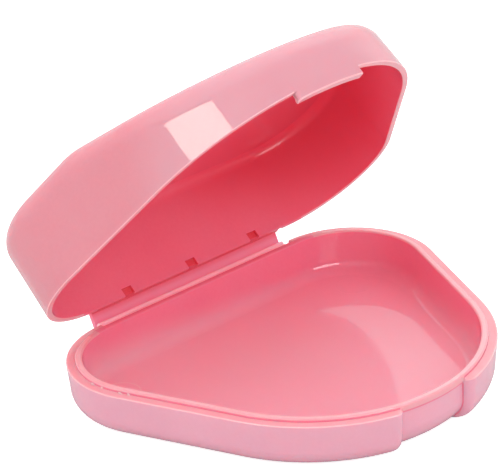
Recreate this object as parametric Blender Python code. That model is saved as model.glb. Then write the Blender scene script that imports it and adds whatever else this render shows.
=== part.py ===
"""Denture case: a shallow tray, a deep lid and the strap that hinges them.

The case is drawn open, as it stands on a table. +Z is up, the latch points to -Y and the
hinge is at +Y. The origin is the middle of the tray's underside. Lengths are in metres.
"""
import math

import bmesh
import bpy
from mathutils import Vector

# Outline that tray and lid share, from the middle of the back to the middle of the front
BACK_HALF_WIDTH = 0.0240
SHOULDER_RADIUS = 0.0175
SHOULDER_TURN = math.radians(22.1)
CORNER_RADIUS = 0.0168
CORNER_TURN = math.radians(90.0)
SIDE_LENGTH = 0.0238

# Tray
TRAY_HEIGHT = 0.0090
TRAY_DRAFT = 0.00045
TRAY_BOTTOM_RADIUS = 0.0040
TRAY_FLOOR = 0.00135
TRAY_FLOOR_RADIUS = 0.0026
TRAY_INSIDE_DRAFT = 0.00035
LEDGE_WIDTH = 0.00168
LEDGE_EDGE_ROUND = 0.00020
LIP_HEIGHT = 0.00065
LIP_THICKNESS = 0.00132
LIP_ROUND = 0.00025

# Recess in the front of the tray, which the lid's tab drops into
LATCH_CENTRE = -0.0006
RECESS_HALF_WIDTH = 0.0081
RECESS_END_RADIUS = 0.00185
RECESS_UNDERCUT = 0.00032
RECESS_DEPTH = LEDGE_WIDTH + RECESS_UNDERCUT
RECESS_BOTTOM_RADIUS = 0.00465
CATCH_HEIGHT = 0.00055
CATCH_CHAMFER = 0.00012

# Lid, in its own frame: rim at height zero, back at y = 0
LID_WALL = 0.0012
LID_DRAFT = 0.0004
LID_BACK_HEIGHT = 0.0174
LID_RIDGE_HEIGHT = 0.0181
LID_FRONT_HEIGHT = 0.00945
LID_RIDGE_FROM_BACK = 0.0331
LID_RIDGE_BLEND = 0.0018
LID_ROOF_RADIUS = 0.0046
LID_ROOF_THICKNESS = 0.00125
LID_RIM_ROUND = 0.00015
LID_RIM_BAND = 0.0020

# Tab on the front of the lid, with the bead that snaps under the tray's lip
TAB_END_CLEARANCE = 0.0004
TAB_HALF_WIDTH = RECESS_HALF_WIDTH - TAB_END_CLEARANCE
TAB_DEPTH = 0.00165
TAB_THICKNESS = 0.00125
TAB_SETBACK = 0.00004
TAB_EDGE_ROUND = 0.00025
TAB_CORNER_RADIUS = 0.0009
TAB_ROOT_HEIGHT = 0.0011
TAB_ROOT_CLEARANCE = 0.00015
BEAD_BITE = 0.00009
BEAD_DEPTH = LEDGE_WIDTH + BEAD_BITE - TAB_THICKNESS
BEAD_HEIGHT = 0.00060
BEAD_CHAMFER = 0.00028

# Hinge: a strap that folds on the tray's flange and on the lid's flange
RELIEF_END_MARGIN = 0.0001
HINGE_END_CLEARANCE = 0.00045
RELIEF_HALF_WIDTH = BACK_HALF_WIDTH - RELIEF_END_MARGIN
HINGE_HALF_WIDTH = RELIEF_HALF_WIDTH - HINGE_END_CLEARANCE
STRAP_THICKNESS = 0.0008
FOLD_GAP = 0.0003
FLANGE_LENGTH = 0.0018
FLANGE_THICKNESS = 0.0011
FLANGE_ROOT = 0.0008
FLANGE_BELOW_RELIEF = 0.0001
TRAY_FOLD_OFFSET = 0.00015
LID_FLANGE_BOTTOM = 0.0004
LID_FLANGE_THICKNESS = 0.0010
RELIEF_DEPTH = 0.0008
RELIEF_STEP_RUN = 0.0001
CLOSED_GAP = 0.00008

# Underside of the lid's back rim: the outer part is relieved and three notches cut the skirt
SKIRT_RELIEF_END_CLEARANCE = 0.00005
SKIRT_RELIEF_HEIGHT = 0.0008
SKIRT_THICKNESS = 0.0006
NOTCH_SPACING_SHARE = 0.674
NOTCH_WIDTH = 0.0023
NOTCH_HEIGHT = 0.0016

# The case as it stands: both folds open by the same angle
FOLD_ANGLE = math.radians(25.8)

# One overrun for every cut
OVERRUN = 0.0010

# Steps along each arc
SHOULDER_STEPS = 3
CORNER_STEPS = 10
FRONT_STEPS = 9
RECESS_STEPS = 6
RECESS_END_STEPS = 5
TRAY_BOTTOM_STEPS = 6
ROOF_STEPS = 6
FLOOR_STEPS = 4
STRAP_STEPS = 5

WALL, RECESS, RELIEF = "wall", "recess", "relief"


# Outline

def arc_direction(angle):
    """Unit vector at an angle from +X."""
    return Vector((math.cos(angle), math.sin(angle)))


def half_outline():
    """Arcs and normals of the right half: dictionary of centres, radii and angles."""
    start = math.pi / 2
    shoulder_end = start - SHOULDER_TURN
    corner_end = shoulder_end - CORNER_TURN
    shoulder_centre = Vector((BACK_HALF_WIDTH, -SHOULDER_RADIUS))
    corner_centre = shoulder_centre + (SHOULDER_RADIUS - CORNER_RADIUS) * arc_direction(shoulder_end)
    normal = arc_direction(corner_end)
    along = Vector((normal.y, -normal.x))
    side_end = corner_centre + CORNER_RADIUS * normal + SIDE_LENGTH * along
    front_radius = side_end.x / normal.x
    front_centre = side_end - front_radius * normal
    return {
        "shoulder": (shoulder_centre, SHOULDER_RADIUS, start, shoulder_end),
        "corner": (corner_centre, CORNER_RADIUS, shoulder_end, corner_end),
        "front": (front_centre, front_radius, corner_end, -math.pi / 2),
    }


ARCS = half_outline()
FRONT_CENTRE, FRONT_RADIUS, FRONT_START, FRONT_MIDDLE = ARCS["front"]
CASE_DEPTH = FRONT_RADIUS - FRONT_CENTRE.y
BACK_Y = CASE_DEPTH / 2


def arc_stations(name, steps, skip_first=True):
    """Points and normals along one arc of the right half, back to front."""
    centre, radius, start, end = ARCS[name]
    stations = []
    for step in range(1 if skip_first else 0, steps + 1):
        normal = arc_direction(start + (end - start) * step / steps)
        stations.append((centre + radius * normal, normal))
    return stations


def front_station(angle):
    """Point and normal on the front arc, at an angle from the middle of the front."""
    normal = arc_direction(FRONT_MIDDLE + angle)
    return FRONT_CENTRE + FRONT_RADIUS * normal, normal


def mirrored(stations):
    """The same stations on the left side, in the opposite order."""
    return [(Vector((-p.x, p.y)), Vector((-n.x, n.y))) for p, n in reversed(stations)]


def side_stations():
    """Right side: the shoulder and the corner, up to the start of the straight side."""
    shoulder = arc_stations("shoulder", SHOULDER_STEPS, skip_first=False)
    return shoulder + arc_stations("corner", CORNER_STEPS)


def front_angles(low, high, steps):
    """Evenly spaced angles on the front arc, with both ends."""
    return [low + (high - low) * step / steps for step in range(steps + 1)]


def lid_stations():
    """Closed outline of the lid: every station is a point, a normal and no weights."""
    right = side_stations()
    reach = FRONT_START - FRONT_MIDDLE
    front = [front_station(a) for a in front_angles(reach, -reach, 2 * FRONT_STEPS)]
    return right + front + mirrored(right)


def tray_stations():
    """Closed outline of the tray: point, normal, section name and weight of that section."""
    back = Vector((0.0, 1.0))
    half = RELIEF_HALF_WIDTH
    left_end = [(Vector((-half, 0.0)), back, RELIEF, 0.0),
                (Vector((RELIEF_STEP_RUN - half, 0.0)), back, RELIEF, 1.0)]
    right_end = [(Vector((half - RELIEF_STEP_RUN, 0.0)), back, RELIEF, 1.0),
                 (Vector((half, 0.0)), back, RELIEF, 0.0)]
    right = [(p, n, WALL, 0.0) for p, n in side_stations()]
    left = [(p, n, WALL, 0.0) for p, n in mirrored(side_stations())]
    reach = FRONT_START - FRONT_MIDDLE
    middle = LATCH_CENTRE / FRONT_RADIUS
    inner = RECESS_HALF_WIDTH / FRONT_RADIUS
    run = RECESS_END_RADIUS / FRONT_RADIUS
    front = []
    for angle in front_angles(reach, middle + inner + run, FRONT_STEPS)[:-1]:
        front.append(front_station(angle) + (WALL, 0.0))
    end = []
    for step in range(RECESS_END_STEPS + 1):
        turn = math.pi / 2 * step / RECESS_END_STEPS
        end.append((inner + run * (1 - math.cos(turn)), 1 - math.sin(turn)))
    for angle, weight in reversed(end):
        front.append(front_station(middle + angle) + (RECESS, weight))
    for angle in front_angles(middle + inner, middle - inner, RECESS_STEPS)[1:-1]:
        front.append(front_station(angle) + (RECESS, 1.0))
    for angle, weight in end:
        front.append(front_station(middle - angle) + (RECESS, weight))
    for angle in front_angles(middle - inner - run, -reach, FRONT_STEPS)[1:]:
        front.append(front_station(angle) + (WALL, 0.0))
    return right_end + right + front + left + left_end


# Sections: lists of inset from the outline and height

def section_arc(centre_inset, centre_height, radius, start, end, steps):
    """Points of an arc in a section; angles are from straight out, turning up."""
    points = []
    for step in range(steps + 1):
        angle = start + (end - start) * step / steps
        points.append((centre_inset - radius * math.cos(angle), centre_height + radius * math.sin(angle)))
    return points


def tray_section(kind):
    """The tray's section from the middle of its underside, up the outside and down the inside."""
    down = -math.pi / 2
    if kind == RECESS:
        wall, radius = RECESS_DEPTH, RECESS_BOTTOM_RADIUS
        top = TRAY_HEIGHT - CATCH_HEIGHT
        rim = [(RECESS_DEPTH, top - CATCH_CHAMFER), (LEDGE_WIDTH, top), (LEDGE_WIDTH, TRAY_HEIGHT)]
    else:
        wall, radius = TRAY_DRAFT, TRAY_BOTTOM_RADIUS
        top = TRAY_HEIGHT - (RELIEF_DEPTH if kind == RELIEF else 0.0)
        rim = [(0.0, top - LEDGE_EDGE_ROUND), (LEDGE_EDGE_ROUND, top), (LEDGE_WIDTH, top)]
    outside = section_arc(wall + radius, radius, radius, down, 0.0, TRAY_BOTTOM_STEPS)
    lip_top = TRAY_HEIGHT + LIP_HEIGHT
    inner = LEDGE_WIDTH + LIP_THICKNESS
    lip = [(LEDGE_WIDTH, lip_top - LIP_ROUND), (LEDGE_WIDTH + LIP_ROUND, lip_top),
           (inner - LIP_ROUND, lip_top), (inner, lip_top - LIP_ROUND)]
    foot = inner + TRAY_INSIDE_DRAFT + TRAY_FLOOR_RADIUS
    floor = TRAY_FLOOR + TRAY_FLOOR_RADIUS
    inside = section_arc(foot, floor, TRAY_FLOOR_RADIUS, 0.0, down, FLOOR_STEPS)
    return outside + rim + lip + inside


def lid_section():
    """The lid's section from the middle of its roof, down the outside and up the inside."""
    up = math.pi / 2
    top = LID_RIDGE_HEIGHT
    radius = LID_ROOF_RADIUS
    outside = section_arc(LID_DRAFT + radius, top - radius, radius, up, 0.0, ROOF_STEPS)
    rim = [(0.0, LID_RIM_ROUND), (LID_RIM_ROUND, 0.0),
           (LID_WALL - LID_RIM_ROUND, 0.0), (LID_WALL, LID_RIM_ROUND)]
    inner_radius = radius - LID_ROOF_THICKNESS
    foot = LID_WALL + LID_DRAFT + inner_radius
    inside = section_arc(foot, top - radius, inner_radius, 0.0, up, ROOF_STEPS)
    return outside + rim + inside


def roof_height(y):
    """Height of the lid's roof at a place along the case: two slopes that meet in a soft ridge."""
    back_slope = (LID_RIDGE_HEIGHT - LID_BACK_HEIGHT) / LID_RIDGE_FROM_BACK
    front_slope = (LID_FRONT_HEIGHT - LID_RIDGE_HEIGHT) / (CASE_DEPTH - LID_RIDGE_FROM_BACK)
    behind = -y - LID_RIDGE_FROM_BACK
    if behind <= -LID_RIDGE_BLEND:
        return LID_RIDGE_HEIGHT + back_slope * behind
    if behind >= LID_RIDGE_BLEND:
        return LID_RIDGE_HEIGHT + front_slope * behind
    bend = (front_slope - back_slope) / (4 * LID_RIDGE_BLEND)
    middle = (front_slope + back_slope) / 2
    return LID_RIDGE_HEIGHT + middle * behind + bend * (behind ** 2 + LID_RIDGE_BLEND ** 2)


# Mesh helpers

def material(name, colour):
    """Glossy polypropylene in one colour."""
    made = bpy.data.materials.new(name)
    made.use_nodes = True
    shader = made.node_tree.nodes["Principled BSDF"]
    shader.inputs["Base Color"].default_value = (*colour, 1.0)
    shader.inputs["Roughness"].default_value = 0.25
    shader.inputs["Metallic"].default_value = 0.0
    return made


def collection(name):
    """New collection in the scene."""
    made = bpy.data.collections.new(name)
    bpy.context.scene.collection.children.link(made)
    return made


def new_object(name, mesh_from, group):
    """Object from a bmesh, with its faces pointing out and smooth between sharp edges."""
    bmesh.ops.recalc_face_normals(mesh_from, faces=mesh_from.faces)
    mesh = bpy.data.meshes.new(name)
    mesh_from.to_mesh(mesh)
    mesh_from.free()
    mesh.shade_smooth()
    mesh.set_sharp_from_angle(angle=math.radians(35.0))
    made = bpy.data.objects.new(name, mesh)
    group.objects.link(made)
    return made


def loft(rings):
    """Closed body through rings of equal length, with a flat cap on the first and the last."""
    body = bmesh.new()
    rows = [[body.verts.new(point) for point in ring] for ring in rings]
    count = len(rows[0])
    for lower, upper in zip(rows, rows[1:]):
        for i in range(count):
            j = (i + 1) % count
            body.faces.new((lower[i], lower[j], upper[j], upper[i]))
    body.faces.new(rows[0])
    body.faces.new(rows[-1])
    return body


def block(name, low, high, group):
    """Box between two corners, as a cutter or as a piece to join."""
    body = bmesh.new()
    bmesh.ops.create_cube(body, size=1.0)
    size = Vector(high) - Vector(low)
    middle = (Vector(high) + Vector(low)) / 2
    bmesh.ops.scale(body, vec=size, verts=body.verts)
    bmesh.ops.translate(body, vec=middle, verts=body.verts)
    return new_object(name, body, group)


def boolean(target, tool, operation):
    """Exact Boolean of a hidden tool, which moves with its target."""
    tool.parent = target
    tool.hide_render = True
    tool.display_type = "WIRE"
    step = target.modifiers.new(tool.name, "BOOLEAN")
    step.operation = operation
    step.solver = "EXACT"
    step.object = tool


# Pieces

def tray_flange_top():
    """Height of the top of the tray's flange."""
    return TRAY_HEIGHT - RELIEF_DEPTH - FLANGE_BELOW_RELIEF


def tray_fold():
    """Axis of the fold between tray and strap, from the tray's back: y and z."""
    y = FLANGE_LENGTH + FOLD_GAP + STRAP_THICKNESS / 2
    z = tray_flange_top() - FLANGE_THICKNESS / 2 - TRAY_FOLD_OFFSET
    return y, z


def lid_fold():
    """Axis of the fold between strap and lid, in the lid's frame: y and z."""
    return tray_fold()[0], LID_FLANGE_BOTTOM + LID_FLANGE_THICKNESS / 2


def fold_distance():
    """Length of the strap between its folds, which lets the lid's rim close on the ledge."""
    return TRAY_HEIGHT + CLOSED_GAP + lid_fold()[1] - tray_fold()[1]


def make_tray(parts, tools):
    """Tray with its ledge, lip, recess, back relief and hinge flange."""
    sections = {kind: tray_section(kind) for kind in (WALL, RECESS, RELIEF)}
    stations = tray_stations()
    rings = []
    for level in range(len(sections[WALL])):
        plain_inset, plain_height = sections[WALL][level]
        ring = []
        for point, normal, kind, weight in stations:
            inset, height = sections[kind][level]
            inset = plain_inset + weight * (inset - plain_inset)
            height = plain_height + weight * (height - plain_height)
            place = point - inset * normal
            ring.append((place.x, place.y, height))
        rings.append(ring)
    tray = new_object("base_tray", loft(rings), parts)
    tray.location = (0.0, BACK_Y, 0.0)
    top = tray_flange_top()
    flange = block("tray_flange", (-HINGE_HALF_WIDTH, -FLANGE_ROOT, top - FLANGE_THICKNESS),
                   (HINGE_HALF_WIDTH, FLANGE_LENGTH, top), tools)
    boolean(tray, flange, "UNION")
    return tray


def make_strap(parts):
    """Strap between the folds, with round edges; its origin is on the tray's fold."""
    body = bmesh.new()
    bmesh.ops.create_cube(body, size=1.0)
    length = fold_distance() + STRAP_THICKNESS
    bmesh.ops.scale(body, vec=(2 * HINGE_HALF_WIDTH, STRAP_THICKNESS, length), verts=body.verts)
    bmesh.ops.translate(body, vec=(0.0, 0.0, fold_distance() / 2), verts=body.verts)
    across = [edge for edge in body.edges if abs((edge.verts[0].co - edge.verts[1].co).x) > 0]
    bmesh.ops.bevel(body, geom=across, offset=STRAP_THICKNESS * 0.499, segments=STRAP_STEPS,
                    profile=0.5, affect="EDGES")
    strap = new_object("hinge_strap", body, parts)
    y, z = tray_fold()
    strap.location = (0.0, BACK_Y + y, z)
    strap.rotation_euler = (-FOLD_ANGLE, 0.0, 0.0)
    return strap


def flat_to_roof(z, y):
    """Move a height of the flat lid to its place under the sloping roof."""
    wall_top = LID_RIDGE_HEIGHT - LID_ROOF_RADIUS
    drop = LID_RIDGE_HEIGHT - roof_height(y)
    if z <= LID_RIM_BAND:
        return z
    return z - drop * min(1.0, (z - LID_RIM_BAND) / (wall_top - LID_RIM_BAND))


def lid_shell():
    """Lid without its tab, flange and cuts, in the lid's frame."""
    rings = []
    for inset, height in lid_section():
        rings.append([(*(point - inset * normal), height) for point, normal in lid_stations()])
    body = loft(rings)
    for offset in (-LID_RIDGE_BLEND, 0.0, LID_RIDGE_BLEND):
        everything = body.verts[:] + body.edges[:] + body.faces[:]
        bmesh.ops.bisect_plane(body, geom=everything, dist=LID_RIM_ROUND / 100,
                               plane_co=(0.0, offset - LID_RIDGE_FROM_BACK, 0.0), plane_no=(0.0, 1.0, 0.0))
    for vertex in body.verts:
        vertex.co.z = flat_to_roof(vertex.co.z, vertex.co.y)
    return body


def tab_body():
    """Tab and bead: a section spun about the centre of the front arc."""
    inner = TAB_THICKNESS
    bead = TAB_THICKNESS + BEAD_DEPTH
    root = LID_WALL - TAB_ROOT_CLEARANCE
    bottom = -TAB_DEPTH
    section = [
        (TAB_SETBACK, TAB_ROOT_HEIGHT), (TAB_SETBACK, bottom + TAB_EDGE_ROUND),
        (TAB_SETBACK + TAB_EDGE_ROUND, bottom), (bead - BEAD_CHAMFER, bottom),
        (bead, bottom + BEAD_CHAMFER), (bead, bottom + BEAD_HEIGHT),
        (inner, bottom + BEAD_HEIGHT + BEAD_DEPTH), (inner, -TAB_ROOT_CLEARANCE),
        (root, TAB_ROOT_CLEARANCE), (root, TAB_ROOT_HEIGHT),
    ]
    middle = LATCH_CENTRE / FRONT_RADIUS
    reach = TAB_HALF_WIDTH / FRONT_RADIUS
    point, normal = front_station(middle - reach)
    body = bmesh.new()
    corners = [body.verts.new((*(point - inset * normal), height)) for inset, height in section]
    face = body.faces.new(corners)
    centre = (FRONT_CENTRE.x, FRONT_CENTRE.y, 0.0)
    bmesh.ops.spin(body, geom=[face], cent=centre, axis=(0.0, 0.0, 1.0), angle=2 * reach,
                   steps=RECESS_STEPS, use_duplicate=False)
    outer = FRONT_RADIUS - TAB_SETBACK
    upright = []
    for edge in body.edges:
        a, b = edge.verts[0].co, edge.verts[1].co
        on_outside = all(abs((v.xy - FRONT_CENTRE).length - outer) < TAB_SETBACK for v in (a, b))
        if on_outside and (a - b).xy.length < TAB_SETBACK and len(end_faces(edge)) == 1:
            upright.append(edge)
    bmesh.ops.bevel(body, geom=upright, offset=TAB_CORNER_RADIUS, segments=FLOOR_STEPS,
                    profile=0.5, affect="EDGES")
    return body


def end_faces(edge):
    """Faces of an edge that close the end of a spun section: those with many corners."""
    return [face for face in edge.link_faces if len(face.verts) > 4]


def make_lid(parts, tools, strap):
    """Lid with its tab, flange, relieved back rim and notches; its origin is on its fold."""
    fold_y, fold_z = lid_fold()
    shell = lid_shell()
    bmesh.ops.translate(shell, vec=(0.0, -fold_y, -fold_z), verts=shell.verts)
    lid = new_object("lid_shell", shell, parts)
    lid.parent = strap
    lid.location = (0.0, 0.0, fold_distance())
    lid.rotation_euler = (-FOLD_ANGLE, 0.0, 0.0)

    def place(tool):
        tool.location = (0.0, -fold_y, -fold_z)
        return tool

    half = HINGE_HALF_WIDTH + SKIRT_RELIEF_END_CLEARANCE
    relief = block("skirt_relief", (-half, -SKIRT_THICKNESS, -OVERRUN),
                   (half, OVERRUN, SKIRT_RELIEF_HEIGHT), tools)
    boolean(lid, place(relief), "DIFFERENCE")
    for number, side in enumerate((-1, 0, 1)):
        middle = side * NOTCH_SPACING_SHARE * HINGE_HALF_WIDTH
        notch = block(f"skirt_notch_{number}", (middle - NOTCH_WIDTH / 2, -LID_WALL - OVERRUN, -OVERRUN),
                      (middle + NOTCH_WIDTH / 2, -SKIRT_THICKNESS, NOTCH_HEIGHT), tools)
        boolean(lid, place(notch), "DIFFERENCE")
    flange = block("lid_flange", (-HINGE_HALF_WIDTH, TAB_SETBACK - SKIRT_THICKNESS, LID_FLANGE_BOTTOM),
                   (HINGE_HALF_WIDTH, FLANGE_LENGTH, LID_FLANGE_BOTTOM + LID_FLANGE_THICKNESS), tools)
    boolean(lid, place(flange), "UNION")
    tab = new_object("lid_tab", tab_body(), tools)
    boolean(lid, place(tab), "UNION")
    return lid


def main():
    for old in list(bpy.data.objects):
        bpy.data.objects.remove(old, do_unlink=True)
    parts = collection("denture_case")
    tools = collection("cutters")
    tray = make_tray(parts, tools)
    strap = make_strap(parts)
    lid = make_lid(parts, tools, strap)
    tray.data.materials.append(material("pink_tray", (0.80, 0.26, 0.33)))
    strap.data.materials.append(material("pink_strap", (0.78, 0.22, 0.30)))
    lid.data.materials.append(material("pink_lid", (0.80, 0.28, 0.35)))
    bpy.context.view_layer.update()


main()
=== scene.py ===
"""Looks of the denture case: its moulded pieces with fine edges, folds, moulding marks and finish."""
import math

import bmesh
import bpy
from mathutils import Matrix, Vector, noise


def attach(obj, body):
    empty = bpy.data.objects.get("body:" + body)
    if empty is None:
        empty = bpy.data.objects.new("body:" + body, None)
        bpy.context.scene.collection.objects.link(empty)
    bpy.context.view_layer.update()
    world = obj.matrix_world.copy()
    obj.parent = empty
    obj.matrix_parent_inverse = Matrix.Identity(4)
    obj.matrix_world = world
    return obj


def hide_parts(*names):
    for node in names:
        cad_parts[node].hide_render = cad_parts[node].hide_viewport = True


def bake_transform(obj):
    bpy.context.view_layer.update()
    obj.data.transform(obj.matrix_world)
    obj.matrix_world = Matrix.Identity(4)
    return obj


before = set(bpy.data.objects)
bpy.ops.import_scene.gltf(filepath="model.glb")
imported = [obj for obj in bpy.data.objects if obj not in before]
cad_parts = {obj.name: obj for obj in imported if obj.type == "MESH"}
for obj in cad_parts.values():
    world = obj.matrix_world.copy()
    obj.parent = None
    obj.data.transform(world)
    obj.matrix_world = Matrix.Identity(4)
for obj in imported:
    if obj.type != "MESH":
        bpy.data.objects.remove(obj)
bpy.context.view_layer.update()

# Camera, as the photograph was taken
CAMERA_PLACE = (-0.3206, -0.3506, 0.2633)
CAMERA_TURN = (63.847, 2.649, -42.398)
CAMERA_LENS = 212.04
SENSOR_WIDTH = 36.0

# Outline that tray and lid share, from the middle of the back to the middle of the front
BACK_HALF_WIDTH = 0.0240
SHOULDER_RADIUS = 0.0175
SHOULDER_TURN = math.radians(22.1)
CORNER_RADIUS = 0.0168
CORNER_TURN = math.radians(90.0)
SIDE_LENGTH = 0.0238

# Tray
TRAY_HEIGHT = 0.0090
TRAY_DRAFT = 0.00045
TRAY_BOTTOM_RADIUS = 0.0040
TRAY_FLOOR = 0.00135
TRAY_FLOOR_RADIUS = 0.0026
TRAY_INSIDE_DRAFT = 0.00035
LEDGE_WIDTH = 0.00168
LEDGE_EDGE_ROUND = 0.00020
LIP_HEIGHT = 0.00065
LIP_THICKNESS = 0.00132
LIP_ROUND = 0.00030

# Recess in the front of the tray
LATCH_CENTRE = -0.0006
RECESS_HALF_WIDTH = 0.0081
RECESS_END_RADIUS = 0.00185
RECESS_UNDERCUT = 0.00032
RECESS_DEPTH = LEDGE_WIDTH + RECESS_UNDERCUT
RECESS_BOTTOM_RADIUS = 0.00465
CATCH_HEIGHT = 0.00055
CATCH_CHAMFER = 0.00012
# Height of the line of painted shade under the catch
CATCH_PAINTED_SHADE_HEIGHT = 0.00052

# Lid, in its own frame: rim at height zero, back at y = 0
LID_WALL = 0.0012
LID_DRAFT = 0.0004
LID_BACK_HEIGHT = 0.0174
LID_RIDGE_HEIGHT = 0.0181
LID_FRONT_HEIGHT = 0.00945
LID_RIDGE_FROM_BACK = 0.0331
LID_RIDGE_BLEND = 0.0018
LID_ROOF_RADIUS = 0.0046
LID_ROOF_THICKNESS = 0.00125
LID_INNER_RADIUS = 0.0020
LID_RIM_ROUND = 0.00018
LID_RIM_BAND = 0.0020

# Tab on the front of the lid, with the bead that snaps under the tray's lip
TAB_HALF_WIDTH = RECESS_HALF_WIDTH - 0.0004
TAB_DEPTH = 0.00165
TAB_THICKNESS = 0.00125
TAB_EDGE_ROUND = 0.00025
TAB_CORNER_RADII = (0.00025, 0.0009)
BEAD_BITE = 0.00009
BEAD_DEPTH = LEDGE_WIDTH + BEAD_BITE - TAB_THICKNESS
BEAD_HEIGHT = 0.00060
BEAD_CHAMFER = 0.00028

# Hinge
RELIEF_HALF_WIDTH = 0.0239
HINGE_HALF_WIDTH = 0.02345
STRAP_THICKNESS = 0.0008
STRAP_END_ROUND = 0.00012
FOLD_GAP = 0.0003
FLANGE_LENGTH = 0.0018
FLANGE_THICKNESS = 0.0011
FLANGE_ROOT = 0.0008
FLANGE_BELOW_RELIEF = 0.0001
FLANGE_ROUND = 0.00012
TRAY_FOLD_OFFSET = 0.00015
LID_FLANGE_BOTTOM = 0.0004
LID_FLANGE_THICKNESS = 0.0010
LID_FLANGE_ROOT = 0.00056
RELIEF_DEPTH = 0.0008
RELIEF_STEP_RUN = 0.0001
CLOSED_GAP = 0.00008
FILM_THICKNESS = 0.00022
FOLD_RIDGE_RADIUS = 0.00040
FOLD_RIDGE_FROM_BACK = 0.00125
FOLD_RIDGE_STEPS = 24
FOLD_ANGLE = math.radians(25.8)

# Underside of the lid's back rim
SKIRT_RELIEF_HALF_WIDTH = 0.0235
SKIRT_RELIEF_HEIGHT = 0.0008
SKIRT_THICKNESS = 0.0006
NOTCH_SPACING = 0.0158
NOTCH_WIDTH = 0.0023
NOTCH_HEIGHT = 0.0016
OVERRUN = 0.0010

# Marks of the moulding: ejector rings on the tray's floor and flash beside its lip
EJECTOR_PLACES = ((-0.0291, 0.0213), (0.0291, 0.0205))
EJECTOR_RADIUS = 0.0034
EJECTOR_LINE = 0.00022
EJECTOR_HEIGHT = 0.00004
EJECTOR_STEPS = 64
FLASH_PLACES = ((-0.03954, 0.01642), (-0.03939, 0.01399), (-0.03835, 0.01023), (-0.03771, 0.00864))
FLASH_SIZE = 0.00036
FLASH_STRETCHES = ((0.5, 1.5, 0.7), (0.5, 0.9, 0.9))
FLASH_BUMPS = 0.45
FLASH_BUMP_SCALE = 1.7
FLASH_BUMP_SHIFT = 5.0

# Light: heights on the sky where it starts and ends to brighten, and how bright it is there
SKY_RISE = (0.0, 0.6)
SKY_LEVELS = (0.79, 1.29)
UNLIT_SIDE = (0.55, -0.55, 0.63)
UNLIT_REACH = (0.45, 0.85)
UNLIT_LEVELS = (1.0, 0.2)
FLOOR_SHADE = 0.7
FLOOR_GLOW = 0.8
FLOOR_SIZE = 6.0
FLOOR_HEIGHT = -0.00002

# Lamps that show in gloss alone: azimuth, elevation, width, height, roll, level and colour
LAMP_DISTANCE = 1.2
LAMP_AIM_HEIGHT = 0.03
WINDOW_LAMP = (84.7, 44.8, 0.65, 0.17, 60.0, 8.2, (1.0, 0.99, 0.82))
FRONT_LAMP = (3.0, 17.5, 0.90, 0.33, 0.0, 9.0, (1.0, 1.0, 1.0))

# Plastic: how fine its cloudy pigment, mottling and moulded skin are, and how light spreads in it
CLOUD_SCALE = 70.0
GRAIN_SCALE = 1600.0
GRAIN_SHARE = 0.35
SKIN_SCALE = 260.0
SKIN_BUMP_STRENGTH = 0.06
SKIN_BUMP_HEIGHT = 0.0002
PLASTIC_IOR = 1.49
SCATTER_RADII = (1.0, 0.22, 0.26)
SCATTER_DEPTH = 0.0007

# Colours: the darker and the lighter tone that the cloudy pigment varies between. Tray and lid are one
# plastic, and their finishes are lit and shaded copies of it: the tray's outside, paler than the lid's,
# is painted light, and the insides, deeper, are painted shade. Drifts paint light and shade along a
# direction: they give the direction, how far along it the colour starts and ends to change, and the
# colour it reaches.
TRAY_OUTSIDE = ((0.87, 0.43, 0.535), (0.91, 0.47, 0.575))
TRAY_INSIDE = ((0.93, 0.215, 0.33), (0.96, 0.255, 0.37))
# Painted light and shade: the tray's inside is paler low on the floor and towards the front and left,
# deeper up the walls and at the back.
TRAY_PAINTED_LIGHT_DRIFT = ((-0.3, -0.3, -3.2), -0.031, -0.005, (0.94, 0.46, 0.545))
LID_OUTSIDE = ((0.77, 0.29, 0.345), (0.81, 0.32, 0.375))
# Painted light: the lid's outside grows paler towards its front wall, as the lid stands open.
LID_PAINTED_LIGHT_DRIFT = ((-0.3, -0.85, 0.43), 0.019, 0.029, (0.77, 0.38, 0.44))
LID_INSIDE = ((0.96, 0.215, 0.315), (0.99, 0.255, 0.355))
# Painted shade: the lid's inside grows deeper towards its roof and its right side, as the lid stands
# open.
LID_INSIDE_PAINTED_SHADE_DRIFT = ((0.40, 0.72, 0.56), 0.038, 0.057, (0.86, 0.105, 0.17))
# The strap's front: a redder shaded copy of the plastic as painted shade, and a painted shadow that
# deepens it towards its top, under the lid's skirt.
STRAP_SHADED_COLOURS = ((0.98, 0.35, 0.50), (0.99, 0.39, 0.54))
STRAP_PAINTED_SHADOW_DRIFT = ((0.0, 0.0, 1.0), 0.0085, 0.0100, (0.93, 0.19, 0.28))
# Painted highlight: paler edges, lip top, tab ends, flash and the left ejector ring.
EDGE_HIGHLIGHT_COLOURS = ((0.93, 0.54, 0.57), (0.95, 0.58, 0.61))
# Painted light: paler lid rim underside and tray ledge and lip.
RIM_PAINTED_LIGHT_COLOURS = ((0.91, 0.42, 0.47), (0.94, 0.46, 0.51))
# Painted shade: deep red in the lid's notches, its relieved back rim and its hinge flange.
PAINTED_SHADE_COLOURS = ((0.84, 0.09, 0.13), (0.88, 0.12, 0.16))
# The fold's band: whitened by the fold, and partly a painted highlight.
FOLD_WHITENED_HIGHLIGHT_COLOURS = ((0.98, 0.72, 0.78), (0.99, 0.77, 0.83))
# Painted shade: deeper pink at the lip's foot, under the catch, in the recess's ends and along the back.
CREASE_PAINTED_SHADE_COLOURS = ((0.93, 0.26, 0.37), (0.96, 0.30, 0.41))

# Painted glow: emission that stands in for light the hinge, the edges and the tray's walls let through
# from behind; on the fold it also brightens the painted highlight
GLOW_COLOUR = (1.0, 0.12, 0.18, 1.0)
STRAP_GLOW = 0.09
TRAY_GLOW = 0.035
FOLD_WHITENED_HIGHLIGHT_GLOW = 0.24
EDGE_HIGHLIGHT_GLOW = 0.05

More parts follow.
